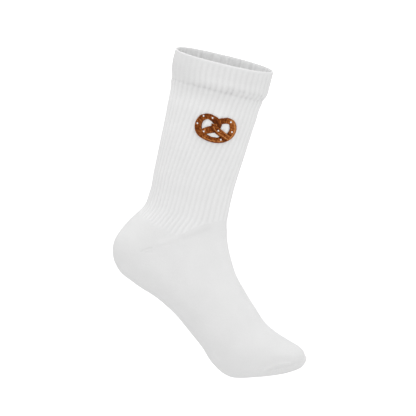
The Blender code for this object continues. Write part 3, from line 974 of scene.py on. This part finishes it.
def new_group(name, inputs, output):
    """An empty node group with inputs of the given values, None for a vector, and a number as its output."""
    group = bpy.data.node_groups.new(name, "ShaderNodeTree")
    for label, value in inputs.items():
        kind = "NodeSocketVector" if value is None else "NodeSocketFloat"
        socket = group.interface.new_socket(label, in_out="INPUT", socket_type=kind)
        if value is not None:
            socket.default_value = value
    group.interface.new_socket(output, in_out="OUTPUT", socket_type="NodeSocketFloat")
    nodes = Nodes(group)
    return group, nodes, nodes.add("NodeGroupInput").outputs, nodes.add("NodeGroupOutput")


def knit_stitches_group():
    """Height of plain knitting: columns of V-shaped stitches, counted by a UV map in stitches."""
    group, nodes, given, result = new_group("knit stitches", {"Stitches": None}, "Height")
    wale, course, _ = nodes.add("ShaderNodeSeparateXYZ", {0: given["Stitches"]}).outputs
    from_middle = nodes.math("ABSOLUTE", nodes.math("SUBTRACT", nodes.math("FRACT", wale), 0.5))
    slanted = nodes.math("MULTIPLY_ADD", from_middle, STITCH_SLANT, course)
    wave = nodes.math("COSINE", nodes.math("MULTIPLY", slanted, 2.0 * math.pi))
    row = nodes.math("MULTIPLY_ADD", wave, ROW_DEPTH, 1.0 - ROW_DEPTH)
    leg_of_stitch = nodes.math("SINE", nodes.math("MULTIPLY", wale, 2.0 * math.pi))
    yarn = nodes.math("POWER", nodes.math("ABSOLUTE", leg_of_stitch), YARN_ROUNDNESS)
    nodes.fill(result, {"Height": nodes.math("MULTIPLY", row, yarn)})
    return group


def yarn_unevenness_group():
    """A value from 0 to 1 that wanders over the surface, coarse and fine at once."""
    inputs = {"Coarse Scale": 60.0, "Fine Scale": 900.0}
    group, nodes, given, result = new_group("yarn unevenness", inputs, "Value")
    where = nodes.add("ShaderNodeTexCoord").outputs["Object"]
    noises = [nodes.add("ShaderNodeTexNoise", {"Vector": where, "Scale": given[label]}) for label in inputs]
    total = nodes.math("ADD", *(noise.outputs["Fac"] for noise in noises))
    nodes.fill(result, {"Value": nodes.math("MULTIPLY", total, 0.5)})
    return group


def thread_twist_group():
    """Height of the plies that wind round a thread, on a UV map with mm along it and one turn round it."""
    inputs = {"Along": None, "Turns per mm": 1.1}
    group, nodes, given, result = new_group("thread twist", inputs, "Height")
    around, along, _ = nodes.add("ShaderNodeSeparateXYZ", {0: given["Along"]}).outputs
    turns = nodes.math("MULTIPLY", along, given["Turns per mm"])
    halves = nodes.math("ADD", nodes.math("MULTIPLY", around, 2.0), turns)
    ply = nodes.math("SINE", nodes.math("MULTIPLY", halves, math.pi))
    nodes.fill(result, {"Height": nodes.math("ABSOLUTE", ply)})
    return group


def new_material(name, inputs):
    made = bpy.data.materials.new(name)
    made.use_nodes = True
    nodes = Nodes(made.node_tree)
    shader = made.node_tree.nodes["Principled BSDF"]
    nodes.fill(shader, inputs)
    return made, nodes, shader


def add_bump(nodes, height, shader, strength, distance):
    inputs = {"Height": height, "Strength": strength, "Distance": distance}
    nodes.fill(shader, {"Normal": nodes.add("ShaderNodeBump", inputs).outputs["Normal"]})


def fine_tone(nodes, unevenness):
    """A value from 0 to 1 that varies from thread to thread and within each."""
    return nodes.group(unevenness, {"Coarse Scale": 300.0, "Fine Scale": 2500.0})


def add_plies(nodes, shader, twist, strength, inputs=None):
    """The plies that wind round each thread."""
    uv = nodes.add("ShaderNodeUVMap", uv_map="thread").outputs["UV"]
    plies = nodes.group(twist, {"Along": uv, **(inputs or {})})
    add_bump(nodes, plies, shader, strength, PLY_HEIGHT * MM)


def white_knit_material(stitches, unevenness):
    made, nodes, shader = new_material("white_knit", {"Roughness": 0.92, "Specular IOR Level": 0.2})
    uv = nodes.add("ShaderNodeUVMap", uv_map="stitches").outputs["UV"]
    pattern = nodes.group(stitches, {"Stitches": uv})
    tone = nodes.group(unevenness, {"Coarse Scale": 45.0, "Fine Scale": 700.0})
    yarn = nodes.ramp(tone, (0.3, 0.86), (0.7, 0.905))
    # painted light and shade, from the values that the mesh carries
    shade = nodes.ramp(nodes.attribute("painted_light"), (0.0, 0.66), (0.8, 0.965), (1.0, 1.0))
    from_mean = nodes.math("SUBTRACT", pattern, MEAN_STITCH_HEIGHT)
    shown = nodes.attribute("stitches shown")
    height = nodes.math("MULTIPLY_ADD", from_mean, shown, MEAN_STITCH_HEIGHT)
    # painted shade between the yarns of the stitches
    between = nodes.ramp(height, (0.0, 0.88), (0.7, 1.0))
    nodes.fill(shader, {"Base Color": nodes.multiply(nodes.multiply(yarn, shade), between)})
    add_bump(nodes, height, shader, strength=0.35, distance=KNIT_BUMP)
    return made


def brown_thread_material(twist, unevenness):
    made, nodes, shader = new_material("brown_thread", {"Roughness": 0.6, "Specular IOR Level": 0.1})
    darker = nodes.math("SUBTRACT", nodes.attribute("tone"), 0.5 * BROWN_FLECK)
    varied = nodes.math("MULTIPLY_ADD", fine_tone(nodes, unevenness), BROWN_FLECK, darker)
    colour = nodes.ramp(
        varied,
        (0.05, (0.110, 0.022, 0.002)),
        (0.40, (0.240, 0.056, 0.007)),
        (0.65, (0.390, 0.120, 0.022)),
        (1.00, (0.620, 0.260, 0.080)),
    )
    nodes.fill(shader, {"Base Color": colour})
    add_plies(nodes, shader, twist, strength=0.5)
    return made


def brown_padding_material(unevenness):
    made, nodes, shader = new_material("brown_padding", {"Roughness": 0.85, "Specular IOR Level": 0.1})
    tone = fine_tone(nodes, unevenness)
    colour = nodes.ramp(tone, (0.3, (0.085, 0.022, 0.004)), (0.7, (0.14, 0.04, 0.008)))
    nodes.fill(shader, {"Base Color": colour})
    return made


def white_thread_material(twist, unevenness):
    made, nodes, shader = new_material("white_thread", {"Roughness": 0.5})
    colour = nodes.ramp(fine_tone(nodes, unevenness), (0.3, (0.88, 0.87, 0.86)), (0.7, 0.95))
    nodes.fill(shader, {"Base Color": colour})
    add_plies(nodes, shader, twist, strength=0.4, inputs={"Turns per mm": 1.6})
    return made


def floor_material():
    """White board that shows almost no shadow, but sends no light of its own to the sock."""
    made, nodes, shader = new_material("pale_floor", {"Roughness": 1.0, "Specular IOR Level": 0.0})
    seen = nodes.add("ShaderNodeLightPath").outputs["Is Camera Ray"]
    white = (0.96, 0.96, 0.96, 1.0)
    nodes.fill(shader, {"Base Color": white, "Emission Color": seen, "Emission Strength": FLOOR_GLOW})
    return made


def lay_floor():
    signs = ((-1, -1), (1, -1), (1, 1), (-1, 1))
    corners = [(FLOOR_HALF * x, FLOOR_HALF * y, -FLOOR_DEPTH) for x, y in signs]
    mesh = bpy.data.meshes.new("floor")
    mesh.from_pydata(corners, [], [(0, 1, 2, 3)])
    mesh.materials.append(floor_material())
    floor = new_object("floor", mesh)


def area_light(name, place, target, size, power):
    """A square soft light that looks at the target."""
    lamp = bpy.data.lights.new(name, "AREA")
    lamp.size = size
    lamp.energy = power
    made = new_object(name, lamp)
    made.location = place
    made.rotation_euler = (Vector(target) - Vector(place)).to_track_quat("-Z", "Y").to_euler()
    made.visible_camera = False


def light_the_room():
    """A white room with one darker side, beyond the sole, with a soft key light and a fill."""
    world = bpy.data.worlds.new("room")
    world.use_nodes = True
    nodes = Nodes(world.node_tree)
    where = nodes.add("ShaderNodeTexCoord").outputs["Generated"]
    angle = CAMERA_TURN - ROOM_TURN
    away = (-math.sin(angle), math.cos(angle), 0.0)
    from_sole = nodes.add("ShaderNodeVectorMath", {0: where, 1: away}, operation="DOT_PRODUCT")
    inputs = {
        "Value": from_sole.outputs["Value"],
        "From Min": -1.0,
        "From Max": ROOM_DARK_EDGE,
        "To Min": ROOM_DARKEST * ROOM_BRIGHTNESS,
        "To Max": ROOM_BRIGHTNESS,
    }
    shade = nodes.add("ShaderNodeMapRange", inputs, interpolation_type="SMOOTHSTEP").outputs["Result"]
    white = (1.0, 1.0, 1.0, 1.0)
    nodes.fill(world.node_tree.nodes["Background"], {"Color": white, "Strength": shade})
    bpy.context.scene.world = world
    for lamp in LAMPS:
        area_light(*lamp)
    bpy.context.scene.view_settings.view_transform = "Standard"


def place_camera(shift):
    right = Vector((math.cos(CAMERA_TURN), math.sin(CAMERA_TURN), 0.0))
    up = Vector((-math.sin(CAMERA_TURN), math.cos(CAMERA_TURN), 0.0))
    toward = up * math.sin(CAMERA_TILT) + Vector((0.0, 0.0, math.cos(CAMERA_TILT)))
    target = Vector(CAMERA_TARGET) * MM + shift
    lens = bpy.data.cameras.new("camera")
    lens.sensor_width = SENSOR_WIDTH
    lens.lens = SENSOR_WIDTH * CAMERA_DISTANCE / (PIXEL * PHOTO_WIDTH)
    lens.clip_end = 5.0 * CAMERA_DISTANCE
    turn = Matrix((right, toward.cross(right), toward)).transposed().to_4x4()
    made = new_object("camera", lens)
    made.matrix_world = Matrix.Translation(target + toward * CAMERA_DISTANCE) @ turn
    bpy.context.scene.camera = made


def main():
    stitches = knit_stitches_group()
    unevenness = yarn_unevenness_group()
    twist = thread_twist_group()
    white_thread = white_thread_material(twist, unevenness)
    tree, shift = knit_sock(white_knit_material(stitches, unevenness))
    place_camera(shift)
    light_the_room()
    lay_floor()
    leg = Leg(tree, shift)
    embroider(leg, brown_thread_material(twist, unevenness), brown_padding_material(unevenness))
    for number, place in enumerate(SALT_PLACES, start=1):
        salt_knot(number, place, leg, white_thread)


main()
